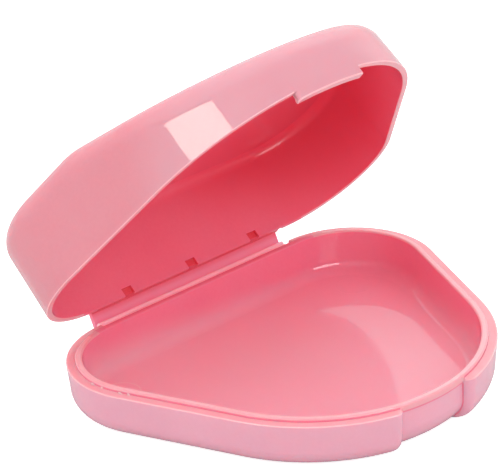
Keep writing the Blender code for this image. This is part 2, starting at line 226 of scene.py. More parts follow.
# Steps along each arc
SHOULDER_STEPS = 8
CORNER_STEPS = 28
FRONT_STEPS = 18
RECESS_STEPS = 12
RECESS_END_STEPS = 10
CORNER_INSET_STEPS = 7
FILLET_STEPS = 14
EDGE_STEPS = 4
RIDGE_CUTS = 11
ROUNDING_STEPS = 3
STRAP_ROUND_STEPS = 8
FILM_STEPS = 8

# Mesh: points closer than this are one, and edges that turn by more degrees stay sharp
MERGE_DISTANCE = LID_RIM_ROUND / 200
SHARP_TURN = 32.0
FLASH_SHARP_TURN = 80.0

# How far a face or a station turns to the back, as the y of its normal
SEEN_FROM_BEHIND = 0.5
NEAR_BACK = 0.94
AT_BACK = 0.98

WALL, RECESS, RELIEF = "wall", "recess", "relief"

# Finishes of tray and lid, by their number: outside, inside, and painted highlight, painted light,
# painted shade, the whitened fold with its painted highlight, and painted crease shade
OUTSIDE, INSIDE, EDGE_HIGHLIGHT, RIM_PAINTED_LIGHT, PAINTED_SHADE, FOLD_WHITENED_HIGHLIGHT, CREASE_PAINTED_SHADE = range(7)


# Outline

def arc_direction(angle):
    """Unit vector at an angle from +X."""
    return Vector((math.cos(angle), math.sin(angle)))


def half_outline():
    """Arcs of the right half: centre, radius, start and end angle of each."""
    start = math.pi / 2
    shoulder_end = start - SHOULDER_TURN
    corner_end = shoulder_end - CORNER_TURN
    shoulder_centre = Vector((BACK_HALF_WIDTH, -SHOULDER_RADIUS))
    corner_centre = shoulder_centre + (SHOULDER_RADIUS - CORNER_RADIUS) * arc_direction(shoulder_end)
    normal = arc_direction(corner_end)
    along = Vector((normal.y, -normal.x))
    side_end = corner_centre + CORNER_RADIUS * normal + SIDE_LENGTH * along
    front_radius = side_end.x / normal.x
    front_centre = side_end - front_radius * normal
    return {
        "shoulder": (shoulder_centre, SHOULDER_RADIUS, start, shoulder_end),
        "corner": (corner_centre, CORNER_RADIUS, shoulder_end, corner_end),
        "front": (front_centre, front_radius, corner_end, -math.pi / 2),
    }


ARCS = half_outline()
FRONT_CENTRE, FRONT_RADIUS, FRONT_START, FRONT_MIDDLE = ARCS["front"]
CASE_DEPTH = FRONT_RADIUS - FRONT_CENTRE.y
BACK_Y = CASE_DEPTH / 2


def arc_stations(name, steps, skip_first=True):
    """Points and normals along one arc of the right half, back to front."""
    centre, radius, start, end = ARCS[name]
    stations = []
    for step in range(1 if skip_first else 0, steps + 1):
        normal = arc_direction(start + (end - start) * step / steps)
        stations.append((centre + radius * normal, normal))
    return stations


def front_station(angle):
    """Point and normal on the front arc, at an angle from the middle of the front."""
    normal = arc_direction(FRONT_MIDDLE + angle)
    return FRONT_CENTRE + FRONT_RADIUS * normal, normal


def mirrored(stations):
    """The same stations on the left side, in the opposite order."""
    return [(Vector((-p.x, p.y)), Vector((-n.x, n.y))) for p, n in reversed(stations)]


def side_stations():
    """Right side: the shoulder and the corner, up to the start of the straight side."""
    shoulder = arc_stations("shoulder", SHOULDER_STEPS, skip_first=False)
    return shoulder + arc_stations("corner", CORNER_STEPS)


def spread(low, high, steps):
    """Evenly spaced values with both ends."""
    return [low + (high - low) * step / steps for step in range(steps + 1)]


def tray_stations():
    """Closed outline of the tray: point, normal, section name and weight of that section."""
    back = Vector((0.0, 1.0))
    half = RELIEF_HALF_WIDTH
    left_end = [(Vector((-half, 0.0)), back, RELIEF, 0.0),
                (Vector((RELIEF_STEP_RUN - half, 0.0)), back, RELIEF, 1.0)]
    right_end = [(Vector((half - RELIEF_STEP_RUN, 0.0)), back, RELIEF, 1.0),
                 (Vector((half, 0.0)), back, RELIEF, 0.0)]
    right = [(p, n, WALL, 0.0) for p, n in side_stations()]
    left = [(p, n, WALL, 0.0) for p, n in mirrored(side_stations())]
    reach = FRONT_START - FRONT_MIDDLE
    middle = LATCH_CENTRE / FRONT_RADIUS
    inner = RECESS_HALF_WIDTH / FRONT_RADIUS
    run = RECESS_END_RADIUS / FRONT_RADIUS
    front = []
    for angle in spread(reach, middle + inner + run, FRONT_STEPS)[:-1]:
        front.append(front_station(angle) + (WALL, 0.0))
    end = []
    for turn in spread(0.0, math.pi / 2, RECESS_END_STEPS):
        end.append((inner + run * (1 - math.cos(turn)), 1 - math.sin(turn)))
    for angle, weight in reversed(end):
        front.append(front_station(middle + angle) + (RECESS, weight))
    for angle in spread(middle + inner, middle - inner, RECESS_STEPS)[1:-1]:
        front.append(front_station(angle) + (RECESS, 1.0))
    for angle, weight in end:
        front.append(front_station(middle - angle) + (RECESS, weight))
    for angle in spread(middle - inner - run, -reach, FRONT_STEPS)[1:]:
        front.append(front_station(angle) + (WALL, 0.0))
    return right_end + right + front + left + left_end


def lid_stations():
    """Closed outline of the lid: point, normal and the tab's outer inset, or None off the tab."""
    right = [(p, n, None) for p, n in side_stations()]
    left = [(p, n, None) for p, n in mirrored(side_stations())]
    reach = FRONT_START - FRONT_MIDDLE
    middle = LATCH_CENTRE / FRONT_RADIUS
    half = TAB_HALF_WIDTH / FRONT_RADIUS
    right_corner, left_corner = [
        [(radius * (1 - math.cos(turn)) / FRONT_RADIUS, radius * (1 - math.sin(turn)))
         for turn in spread(0.0, math.pi / 2, CORNER_INSET_STEPS)] for radius in TAB_CORNER_RADII]
    front = [front_station(a) + (None,) for a in spread(reach, middle + half, FRONT_STEPS)]
    front += [front_station(middle + half - shift) + (inset,) for shift, inset in right_corner]
    ends = middle + half - right_corner[-1][0], middle - half + left_corner[-1][0]
    for angle in spread(*ends, RECESS_STEPS)[1:-1]:
        front.append(front_station(angle) + (0.0,))
    front += [front_station(middle - half + shift) + (inset,) for shift, inset in reversed(left_corner)]
    front += [front_station(a) + (None,) for a in spread(middle - half, -reach, FRONT_STEPS)]
    return right + front + left


# Sections: lists of inset from the outline and height

def section_arc(centre_inset, centre_height, radius, start, end, steps):
    """Points of an arc in a section; angles are from straight out, turning up."""
    points = []
    for angle in spread(start, end, steps):
        points.append((centre_inset - radius * math.cos(angle),
                       centre_height + radius * math.sin(angle)))
    return points


def tray_section(kind):
    """The tray's section from the middle of its underside, up the outside and down the inside."""
    down, up = -math.pi / 2, math.pi / 2
    if kind == RECESS:
        wall, radius = RECESS_DEPTH, RECESS_BOTTOM_RADIUS
        top = TRAY_HEIGHT - CATCH_HEIGHT
        rise = [(RECESS_DEPTH, top - CATCH_CHAMFER)] * 2
        slope = [(inset, top) for inset in spread(RECESS_DEPTH, LEDGE_WIDTH, EDGE_STEPS - 1)]
        rim = rise[:1] + slope + [(LEDGE_WIDTH, TRAY_HEIGHT)]
    else:
        wall, radius = TRAY_DRAFT, TRAY_BOTTOM_RADIUS
        top = TRAY_HEIGHT - (RELIEF_DEPTH if kind == RELIEF else 0.0)
        edge = section_arc(LEDGE_EDGE_ROUND, top - LEDGE_EDGE_ROUND, LEDGE_EDGE_ROUND,
                           0.0, up, EDGE_STEPS)
        rim = edge + [(LEDGE_WIDTH, top)]
    outside = section_arc(wall + radius, radius, radius, down, 0.0, FILLET_STEPS)
    # A ring just under the catch: the strip above it carries the painted shade line.
    below = TRAY_HEIGHT - CATCH_HEIGHT - CATCH_PAINTED_SHADE_HEIGHT
    share = (below - radius) / (TRAY_HEIGHT - LEDGE_EDGE_ROUND - radius)
    outside.append((wall if kind == RECESS else wall * (1 - share), below))
    lip_top = TRAY_HEIGHT + LIP_HEIGHT
    inner = LEDGE_WIDTH + LIP_THICKNESS
    outer_edge = section_arc(LEDGE_WIDTH + LIP_ROUND, lip_top - LIP_ROUND, LIP_ROUND,
                             0.0, up, EDGE_STEPS)
    inner_edge = section_arc(inner - LIP_ROUND, lip_top - LIP_ROUND, LIP_ROUND,
                             up, math.pi, EDGE_STEPS)
    foot = inner + TRAY_INSIDE_DRAFT + TRAY_FLOOR_RADIUS
    floor = TRAY_FLOOR + TRAY_FLOOR_RADIUS
    inside = section_arc(foot, floor, TRAY_FLOOR_RADIUS, 0.0, down, FILLET_STEPS)
    return outside + rim + outer_edge + inner_edge + inside


def rim_section(tab_inset):
    """Lower part of the lid's section: the plain rim, or the tab where its outer inset is given."""
    rim = LID_RIM_ROUND
    reach = rim if tab_inset is None else min(rim, tab_inset)
    outer = []
    for turn in spread(0.0, math.pi / 2, EDGE_STEPS):
        outer.append((reach * (1 - math.cos(turn)), rim * (1 - math.sin(turn))))
    inner = section_arc(LID_WALL - rim, rim, rim, -math.pi / 2, -math.pi, EDGE_STEPS)
    if tab_inset is None:
        third = (LID_WALL - 2 * rim) / 3
        under = [(rim, 0.0)] + [(inset, 0.0) for inset in spread(rim, rim + third, EDGE_STEPS + 3)]
        return outer + under + [(rim + 2 * third, 0.0), (LID_WALL - rim, 0.0)] + inner
    bead = TAB_THICKNESS + BEAD_DEPTH
    low = -TAB_DEPTH
    edge = []
    for turn in spread(0.0, math.pi / 2, EDGE_STEPS):
        edge.append((tab_inset + TAB_EDGE_ROUND * (1 - math.cos(turn)),
                     low + TAB_EDGE_ROUND * (1 - math.sin(turn))))
    under = [(max(tab_inset, reach), 0.0)] + edge
    under += [(bead - BEAD_CHAMFER, low), (bead, low + BEAD_CHAMFER), (bead, low + BEAD_HEIGHT)]
    under += [(TAB_THICKNESS, low + BEAD_HEIGHT + BEAD_DEPTH), (TAB_THICKNESS, 0.0)]
    return outer + under + inner


def lid_section(tab_inset):
    """The lid's section from the middle of its roof, down the outside and up the inside."""
    up = math.pi / 2
    top = LID_RIDGE_HEIGHT
    radius = LID_ROOF_RADIUS
    outside = section_arc(LID_DRAFT + radius, top - radius, radius, up, 0.0, FILLET_STEPS)
    band = [(LID_DRAFT * LID_RIM_BAND / (top - radius), LID_RIM_BAND)]
    foot = LID_WALL + LID_DRAFT + LID_INNER_RADIUS
    inner_top = top - LID_ROOF_THICKNESS
    inside = section_arc(foot, inner_top - LID_INNER_RADIUS, LID_INNER_RADIUS, 0.0, up, FILLET_STEPS)
    return outside + band + rim_section(tab_inset) + [(LID_WALL, LID_RIM_BAND)] + inside


def roof_height(y):
    """Height of the lid's roof at a place along the case: two slopes that meet in a soft ridge."""
    back_slope = (LID_RIDGE_HEIGHT - LID_BACK_HEIGHT) / LID_RIDGE_FROM_BACK
    front_slope = (LID_FRONT_HEIGHT - LID_RIDGE_HEIGHT) / (CASE_DEPTH - LID_RIDGE_FROM_BACK)
    behind = -y - LID_RIDGE_FROM_BACK
    if behind <= -LID_RIDGE_BLEND:
        return LID_RIDGE_HEIGHT + back_slope * behind
    if behind >= LID_RIDGE_BLEND:
        return LID_RIDGE_HEIGHT + front_slope * behind
    bend = (front_slope - back_slope) / (4 * LID_RIDGE_BLEND)
    middle = (front_slope + back_slope) / 2
    return LID_RIDGE_HEIGHT + middle * behind + bend * (behind ** 2 + LID_RIDGE_BLEND ** 2)


# Mesh helpers

def new_object(name, body, finishes=()):
    """Object from a bmesh, with its faces pointing out and its finishes in order."""
    bmesh.ops.recalc_face_normals(body, faces=body.faces)
    mesh = bpy.data.meshes.new(name)
    body.to_mesh(mesh)
    body.free()
    for finish in finishes:
        mesh.materials.append(finish)
    made = bpy.data.objects.new(name, mesh)
    bpy.context.scene.collection.objects.link(made)
    return made


def loft(rings, finish):
    """Closed body through rings of equal length, capped; finish(ring, station) gives a face's finish."""
    body = bmesh.new()
    rows = [[body.verts.new(point) for point in ring] for ring in rings]
    count = len(rows[0])
    for number, (lower, upper) in enumerate(zip(rows, rows[1:])):
        for i in range(count):
            j = (i + 1) % count
            face = body.faces.new((lower[i], lower[j], upper[j], upper[i]))
            face.material_index = finish(number, i)
    body.faces.new(rows[0]).material_index = OUTSIDE
    body.faces.new(rows[-1]).material_index = INSIDE
    bmesh.ops.remove_doubles(body, verts=body.verts, dist=MERGE_DISTANCE)
    bmesh.ops.dissolve_degenerate(body, edges=body.edges, dist=MERGE_DISTANCE)
    return body


def block(name, low, high, rounding=0.0):
    """Box between two corners, with rounded edges if asked."""
    body = bmesh.new()
    bmesh.ops.create_cube(body, size=1.0)
    size = Vector(high) - Vector(low)
    middle = (Vector(high) + Vector(low)) / 2
    bmesh.ops.scale(body, vec=size, verts=body.verts)
    bmesh.ops.translate(body, vec=middle, verts=body.verts)
    if rounding:
        bmesh.ops.bevel(body, geom=body.edges[:], offset=rounding, segments=ROUNDING_STEPS,
                        profile=0.5, affect="EDGES")
    return new_object(name, body)


def in_finish(tool, number, plain_behind=False):
    """Give a tool's faces one of its target's finishes, by number; if asked, its back stays plain."""
    for face in tool.data.polygons:
        behind = face.normal.y > SEEN_FROM_BEHIND
        face.material_index = OUTSIDE if plain_behind and behind else number
    return tool


def carve(target, tools):
    """Apply exact Booleans: a list of tool objects and operations. The tools are removed."""
    for tool, operation in tools:
        for finish in target.data.materials:
            tool.data.materials.append(finish)
        step = target.modifiers.new(tool.name, "BOOLEAN")
        step.operation = operation
        step.solver = "EXACT"
        step.object = tool
    graph = bpy.context.evaluated_depsgraph_get()
    carved = bpy.data.meshes.new_from_object(target.evaluated_get(graph))
    target.modifiers.clear()
    target.data = carved
    for tool, operation in tools:
        bpy.data.objects.remove(tool, do_unlink=True)


def settle(piece, matrix, sharp=SHARP_TURN):
    """Put the piece's place into its mesh and shade it smooth between sharp edges."""
    piece.data.transform(matrix)
    piece.data.shade_smooth()
    piece.data.set_sharp_from_angle(angle=math.radians(sharp))
    weights = piece.modifiers.new("weighted_normals", "WEIGHTED_NORMAL")
    weights.keep_sharp = True
    weights.mode = "FACE_AREA_WITH_ANGLE"


# Places

def tray_flange_top():
    """Height of the top of the tray's flange."""
    return TRAY_HEIGHT - RELIEF_DEPTH - FLANGE_BELOW_RELIEF


def tray_fold():
    """Axis of the fold between tray and strap, from the tray's back: y and z."""
    return (FLANGE_LENGTH + FOLD_GAP + STRAP_THICKNESS / 2,
            tray_flange_top() - FLANGE_THICKNESS / 2 - TRAY_FOLD_OFFSET)


def lid_fold():
    """Axis of the fold between strap and lid, in the lid's frame: y and z."""
    return tray_fold()[0], LID_FLANGE_BOTTOM + LID_FLANGE_THICKNESS / 2


def fold_distance():
    """Length of the strap between its folds."""
    return TRAY_HEIGHT + CLOSED_GAP + lid_fold()[1] - tray_fold()[1]


def tray_matrix():
    """From the tray's back to the part's frame."""
    return Matrix.Translation((0.0, BACK_Y, 0.0))


def strap_matrix():
    """From the strap's own frame, with its origin on the tray's fold, to the part's frame."""
    y, z = tray_fold()
    return Matrix.Translation((0.0, BACK_Y + y, z)) @ Matrix.Rotation(-FOLD_ANGLE, 4, "X")


def lid_matrix():
    """From the lid's frame to the part's frame."""
    y, z = lid_fold()
    fold = Matrix.Translation((0.0, 0.0, fold_distance())) @ Matrix.Rotation(-FOLD_ANGLE, 4, "X")
    return strap_matrix() @ fold @ Matrix.Translation((0.0, -y, -z))


# Pieces

def make_tray(finishes):
    """Tray with its ledge, lip, recess, back relief, hinge flange and ejector rings."""
    sections = {kind: tray_section(kind) for kind in (WALL, RECESS, RELIEF)}
    stations = tray_stations()
    rings = []
    for level in range(len(sections[WALL])):
        plain_inset, plain_height = sections[WALL][level]
        ring = []
        for point, normal, kind, weight in stations:
            inset, height = sections[kind][level]
            inset = plain_inset + weight * (inset - plain_inset)
            height = plain_height + weight * (height - plain_height)
            place = point - inset * normal
            ring.append((place.x, place.y, height))
        rings.append(ring)
    ledge = FILLET_STEPS + 2
    crease = ledge + EDGE_STEPS + 1
    inside = crease + 2 * EDGE_STEPS + 2

    def finish(number, station):
        """Outside; painted light paler on ledge and lip and palest on their edges, and painted shade
        deeper in the creases, under the catch, in the recess's ends and along the back.
        """
        point, normal, kind, weight = stations[station]
        recess = kind == RECESS
        if number >= inside:
            return INSIDE
        if number < ledge - 1:
            return CREASE_PAINTED_SHADE if recess and 0.8 < weight < 1.0 else OUTSIDE
        if number < crease - 1:
            if recess and weight == 1.0:
                return CREASE_PAINTED_SHADE
            return OUTSIDE if number < ledge else EDGE_HIGHLIGHT
        if number == crease and not (recess and weight > 0.5):
            return CREASE_PAINTED_SHADE
        if number >= crease and normal.y > AT_BACK:
            return CREASE_PAINTED_SHADE
        top = crease + EDGE_STEPS < number < inside - EDGE_STEPS
        return EDGE_HIGHLIGHT if top and normal.y < NEAR_BACK else RIM_PAINTED_LIGHT

    tray = new_object("tray_skin", loft(rings, finish), finishes)
    top = tray_flange_top()
    flange = block("tray_flange", (-HINGE_HALF_WIDTH, -FLANGE_ROOT, top - FLANGE_THICKNESS),
                   (HINGE_HALF_WIDTH, FLANGE_LENGTH, top), FLANGE_ROUND)
    # The flange and ridge take the whitened fold finish, partly a painted highlight; the flange's back
    # stays plain.
    tools = [(in_finish(flange, FOLD_WHITENED_HIGHLIGHT, True), "UNION"), (in_finish(make_fold_ridge(), FOLD_WHITENED_HIGHLIGHT), "UNION")]
    # The left ring takes the edge finish as a painted highlight, the right one the inside's.
    for number, (place, shade) in enumerate(zip(EJECTOR_PLACES, (EDGE_HIGHLIGHT, INSIDE))):
        ring = ejector_ring(f"ejector_ring_{number}", place)
        tools.append((in_finish(ring, shade), "UNION"))
    carve(tray, tools)
    settle(tray, tray_matrix())
    return tray


def make_fold_ridge():
    """Round ridge along the top of the tray's flange, whitened by the fold and partly a painted
    highlight, in the tray's own frame.
    """
    body = bmesh.new()
    rows = []
    for x in (STRAP_END_ROUND - HINGE_HALF_WIDTH, HINGE_HALF_WIDTH - STRAP_END_ROUND):
        row = []
        for turn in spread(0.0, 2 * math.pi, FOLD_RIDGE_STEPS)[:-1]:
            out = FOLD_RIDGE_RADIUS * arc_direction(turn)
            row.append(body.verts.new((x, FOLD_RIDGE_FROM_BACK + out.x, tray_flange_top() + out.y)))
        rows.append(row)
        body.faces.new(row)
    for i in range(FOLD_RIDGE_STEPS):
        j = (i + 1) % FOLD_RIDGE_STEPS
        body.faces.new((rows[0][i], rows[0][j], rows[1][j], rows[1][i]))
    return new_object("fold_ridge", body)


def ejector_ring(name, place):
    """Low ring that an ejector pin left on the tray's floor, in the tray's own frame."""
    body = bmesh.new()
    profile = ((-EJECTOR_LINE, -EJECTOR_HEIGHT), (-EJECTOR_LINE / 3, EJECTOR_HEIGHT),
               (EJECTOR_LINE / 3, EJECTOR_HEIGHT), (EJECTOR_LINE, -EJECTOR_HEIGHT))
    rows = []
    for out, height in profile:
        row = []
        for turn in spread(0.0, 2 * math.pi, EJECTOR_STEPS)[:-1]:
            point = Vector(place) + (EJECTOR_RADIUS + out) * arc_direction(turn)
            row.append(body.verts.new((point.x, point.y - BACK_Y, TRAY_FLOOR + height)))
        rows.append(row)
    for inner, outer in zip(rows, rows[1:] + rows[:1]):
        for i in range(EJECTOR_STEPS):
            j = (i + 1) % EJECTOR_STEPS
            body.faces.new((inner[i], inner[j], outer[j], outer[i]))
    return new_object(name, body)


def make_flash(finishes):
    """Small remains of flash in the gap between the lid's rim and the tray's lip."""
    body = bmesh.new()
    for number, (x, y) in enumerate(FLASH_PLACES):
        made = bmesh.ops.create_icosphere(body, subdivisions=3, radius=1.0)["verts"]
        stretch = Vector(FLASH_STRETCHES[number % 2])
        shift = Vector((number * FLASH_BUMP_SHIFT, 0.0, 0.0))
        for vertex in made:
            bump = 1.0 + FLASH_BUMPS * noise.noise(vertex.co * FLASH_BUMP_SCALE + shift)
            vertex.co = Vector(a * b for a, b in zip(vertex.co * bump, stretch)) * FLASH_SIZE
            vertex.co += Vector((x, y, TRAY_HEIGHT + FLASH_SIZE / 6))
    flash = new_object("ledge_flash", body, finishes)
    settle(flash, Matrix.Identity(4), sharp=FLASH_SHARP_TURN)
    return flash


def make_strap(finishes):
    """Strap between the folds, with round long edges and softened ends."""
    body = bmesh.new()
    bmesh.ops.create_cube(body, size=1.0)
    length = fold_distance() + STRAP_THICKNESS
    bmesh.ops.scale(body, vec=(2 * HINGE_HALF_WIDTH, STRAP_THICKNESS, length), verts=body.verts)
    bmesh.ops.translate(body, vec=(0.0, 0.0, fold_distance() / 2), verts=body.verts)
    across = [edge for edge in body.edges if abs((edge.verts[0].co - edge.verts[1].co).x) > 0]
    bmesh.ops.bevel(body, geom=across, offset=STRAP_THICKNESS * 0.499,
                    segments=STRAP_ROUND_STEPS, profile=0.5, affect="EDGES")
    ends = [edge for edge in body.edges if any(len(face.verts) > 4 for face in edge.link_faces)]
    bmesh.ops.bevel(body, geom=ends, offset=STRAP_END_ROUND, segments=ROUNDING_STEPS,
                    profile=0.5, affect="EDGES")
    body.normal_update()
    for face in body.faces:
        # Its back stays plain; its front takes the strap's shaded copy, as painted shade with a painted
        # glow.
        face.material_index = OUTSIDE if face.normal.y > SEEN_FROM_BEHIND else INSIDE
    strap = new_object("strap_skin", body, finishes)
    settle(strap, strap_matrix())
    return strap


def flat_to_roof(z, y):
    """Move a height of the flat lid to its place under the sloping roof."""
    wall_top = LID_RIDGE_HEIGHT - LID_ROOF_RADIUS
    drop = LID_RIDGE_HEIGHT - roof_height(y)
    if z <= LID_RIM_BAND:
        return z
    return z - drop * min(1.0, (z - LID_RIM_BAND) / (wall_top - LID_RIM_BAND))


def make_lid(finishes):
    """Lid with its roof, ridge, tab, snap bead, flange, relieved back rim and notches."""
    stations = lid_stations()
    sections = [lid_section(tab_inset) for point, normal, tab_inset in stations]
    rings = []
    for level in range(len(sections[0])):
        ring = []
        for (point, normal, tab_inset), section in zip(stations, sections):
            inset, height = section[level]
            place = point - inset * normal
            ring.append((place.x, place.y, height))
        rings.append(ring)
    rim_start, inside = FILLET_STEPS + 2, len(rings) - FILLET_STEPS - 3

    def finish(number, station):
        """Outside, painted-highlight edge, painted-light rim or the shaded inside; on the tab the rim
        starts at its lower edge, and at the hinge the rim takes the inside finish as painted shade.
        """
        here, following = stations[station][2], stations[(station + 1) % len(stations)][2]
        start = rim_start
        if here is not None and following is not None:
            start += EDGE_STEPS + 2
        elif here is not following:
            return OUTSIDE if number < start else EDGE_HIGHLIGHT
        if number < start:
            return OUTSIDE
        at_hinge = stations[station][1].y > AT_BACK
        if number >= inside - 1 or at_hinge:
            return INSIDE
        return EDGE_HIGHLIGHT if number < start + EDGE_STEPS else RIM_PAINTED_LIGHT

    body = loft(rings, finish)
    for offset in spread(-LID_RIDGE_BLEND, LID_RIDGE_BLEND, RIDGE_CUTS - 1):
        everything = body.verts[:] + body.edges[:] + body.faces[:]
        bmesh.ops.bisect_plane(body, geom=everything, dist=MERGE_DISTANCE,
                               plane_co=(0.0, offset - LID_RIDGE_FROM_BACK, 0.0),
                               plane_no=(0.0, 1.0, 0.0))
    for vertex in body.verts:
        vertex.co.z = flat_to_roof(vertex.co.z, vertex.co.y)
    lid = new_object("lid_skin", body, finishes)
    half = SKIRT_RELIEF_HALF_WIDTH
    relief = block("skirt_relief", (-half, -SKIRT_THICKNESS, -OVERRUN),
                   (half, OVERRUN, SKIRT_RELIEF_HEIGHT))
    # The relief, the notches and all but the flange's back take painted shade.
    tools = [(in_finish(relief, PAINTED_SHADE), "DIFFERENCE")]
    for number, middle in enumerate((-NOTCH_SPACING, 0.0, NOTCH_SPACING)):
        low = (middle - NOTCH_WIDTH / 2, -LID_WALL - OVERRUN, -OVERRUN)
        high = (middle + NOTCH_WIDTH / 2, -SKIRT_THICKNESS, NOTCH_HEIGHT)
        tools.append((in_finish(block(f"skirt_notch_{number}", low, high), PAINTED_SHADE), "DIFFERENCE"))
    flange = block("lid_flange", (-HINGE_HALF_WIDTH, -LID_FLANGE_ROOT, LID_FLANGE_BOTTOM),
                   (HINGE_HALF_WIDTH, FLANGE_LENGTH, LID_FLANGE_BOTTOM + LID_FLANGE_THICKNESS),
                   FLANGE_ROUND)
    tools.append((in_finish(flange, PAINTED_SHADE, True), "UNION"))
    carve(lid, tools)
    settle(lid, lid_matrix())
    return lid


def make_film(name, matrix, fold, flange_side, finishes):
    """Thin film of a fold: a ribbon from the flange's edge to the fold's axis."""
    y, z = fold
    half = FILM_THICKNESS / 2
    start = y - STRAP_THICKNESS / 2 - FOLD_GAP - FILM_THICKNESS
    body = bmesh.new()
    rows = []
    for along in spread(start, y, FILM_STEPS):
        rows.append([body.verts.new((x, along, z + side * half)) for x, side in (
            (-HINGE_HALF_WIDTH + STRAP_END_ROUND, -1), (HINGE_HALF_WIDTH - STRAP_END_ROUND, -1),
            (HINGE_HALF_WIDTH - STRAP_END_ROUND, 1), (-HINGE_HALF_WIDTH + STRAP_END_ROUND, 1))])
    for lower, upper in zip(rows, rows[1:]):
        for i in range(4):
            j = (i + 1) % 4
            body.faces.new((lower[i], lower[j], upper[j], upper[i]))
    body.faces.new(rows[0])
    body.faces.new(rows[-1])
    film = new_object(name, body, finishes)
    settle(film, matrix)
    if flange_side == "tray":
        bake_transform(film)
    else:
        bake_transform(film)
    return film


# Finish

def noise_node(nodes, links, coordinates, scale, detail, seed):
    """Noise texture over the part, with features of about one over the scale."""
    texture = nodes.new("ShaderNodeTexNoise")
    texture.noise_dimensions = "4D"
    texture.inputs["W"].default_value = seed
    texture.inputs["Scale"].default_value = scale
    texture.inputs["Detail"].default_value = detail
    links.new(coordinates, texture.inputs["Vector"])
    return texture.outputs["Fac"]


def map_range(nodes, links, value, low, high, source=(0.3, 0.7), smooth=False):
    """A value spread over a new range."""
    mapped = nodes.new("ShaderNodeMapRange")
    mapped.interpolation_type = "SMOOTHSTEP" if smooth else "LINEAR"
    mapped.inputs["From Min"].default_value = source[0]
    mapped.inputs["From Max"].default_value = source[1]
    mapped.inputs["To Min"].default_value = low
    mapped.inputs["To Max"].default_value = high
    links.new(value, mapped.inputs["Value"])
    return mapped.outputs["Result"]


def polypropylene(name, dark, light, seed, roughness=(0.03, 0.07), specular=0.5, glow=0.0,
                  painted_drift=None):
    """Glossy translucent pink plastic with cloudy pigment, fine mottling and a soft moulded skin; where
    given, a painted glow and painted light and shade drifting along a direction.
    """
    made = bpy.data.materials.new(name)
    made.use_nodes = True
    nodes, links = made.node_tree.nodes, made.node_tree.links
    shader = nodes["Principled BSDF"]
    coordinates = nodes.new("ShaderNodeTexCoord").outputs["Object"]
    cloud = noise_node(nodes, links, coordinates, CLOUD_SCALE, 3.0, seed)
    grain = noise_node(nodes, links, coordinates, GRAIN_SCALE, 2.0, seed + 1.0)
    skin = noise_node(nodes, links, coordinates, SKIN_SCALE, 4.0, seed + 2.0)
    both = nodes.new("ShaderNodeMix")
    both.inputs["Factor"].default_value = GRAIN_SHARE
    links.new(cloud, both.inputs["A"])
    links.new(grain, both.inputs["B"])
    tint = nodes.new("ShaderNodeMix")
    tint.data_type = "RGBA"
    tint.inputs["A"].default_value = (*dark, 1.0)
    tint.inputs["B"].default_value = (*light, 1.0)
    links.new(map_range(nodes, links, both.outputs["Result"], 0.0, 1.0), tint.inputs["Factor"])
    colour = tint.outputs["Result"]
    if painted_drift:
        direction, start, end, reached = painted_drift
        along = nodes.new("ShaderNodeVectorMath")
        along.operation = "DOT_PRODUCT"
        along.inputs[1].default_value = direction
        links.new(coordinates, along.inputs[0])
        change = nodes.new("ShaderNodeMix")
        change.data_type = "RGBA"
        change.inputs["B"].default_value = (*reached, 1.0)
        share = map_range(nodes, links, along.outputs["Value"], 0.0, 1.0, (start, end), smooth=True)
        links.new(share, change.inputs["Factor"])
        links.new(colour, change.inputs["A"])
        colour = change.outputs["Result"]
    links.new(colour, shader.inputs["Base Color"])
    links.new(map_range(nodes, links, skin, *roughness), shader.inputs["Roughness"])
    bump = nodes.new("ShaderNodeBump")
    bump.inputs["Strength"].default_value = SKIN_BUMP_STRENGTH
    bump.inputs["Distance"].default_value = SKIN_BUMP_HEIGHT
    links.new(skin, bump.inputs["Height"])
    links.new(bump.outputs["Normal"], shader.inputs["Normal"])
    shader.inputs["IOR"].default_value = PLASTIC_IOR
    shader.inputs["Specular IOR Level"].default_value = specular
    shader.inputs["Emission Color"].default_value = GLOW_COLOUR
    shader.inputs["Emission Strength"].default_value = glow
    shader.inputs["Subsurface Weight"].default_value = 1.0
    shader.inputs["Subsurface Radius"].default_value = SCATTER_RADII
    shader.inputs["Subsurface Scale"].default_value = SCATTER_DEPTH
    return made


# Stage, light and camera

def make_stage():
    """Pale floor that shows white to the camera and keeps a soft shadow."""
    bpy.ops.mesh.primitive_plane_add(size=FLOOR_SIZE, location=(0.0, 0.0, FLOOR_HEIGHT))
    floor = bpy.context.object
    floor.name = "floor"
    made = bpy.data.materials.new("floor_paper")
    made.use_nodes = True
    nodes, links = made.node_tree.nodes, made.node_tree.links
    nodes.clear()
    output = nodes.new("ShaderNodeOutputMaterial")
    paper = nodes.new("ShaderNodeBsdfDiffuse")
    paper.inputs["Color"].default_value = (FLOOR_SHADE, FLOOR_SHADE, FLOOR_SHADE, 1.0)
    glow = nodes.new("ShaderNodeEmission")
    rays = nodes.new("ShaderNodeLightPath")
    level = nodes.new("ShaderNodeMath")
    level.operation = "MULTIPLY"
    level.inputs[1].default_value = FLOOR_GLOW
    links.new(rays.outputs["Is Camera Ray"], level.inputs[0])
    links.new(level.outputs["Value"], glow.inputs["Strength"])
    both = nodes.new("ShaderNodeAddShader")
    links.new(paper.outputs["BSDF"], both.inputs[0])
    links.new(glow.outputs["Emission"], both.inputs[1])
    links.new(both.outputs["Shader"], output.inputs["Surface"])
    floor.data.materials.append(made)


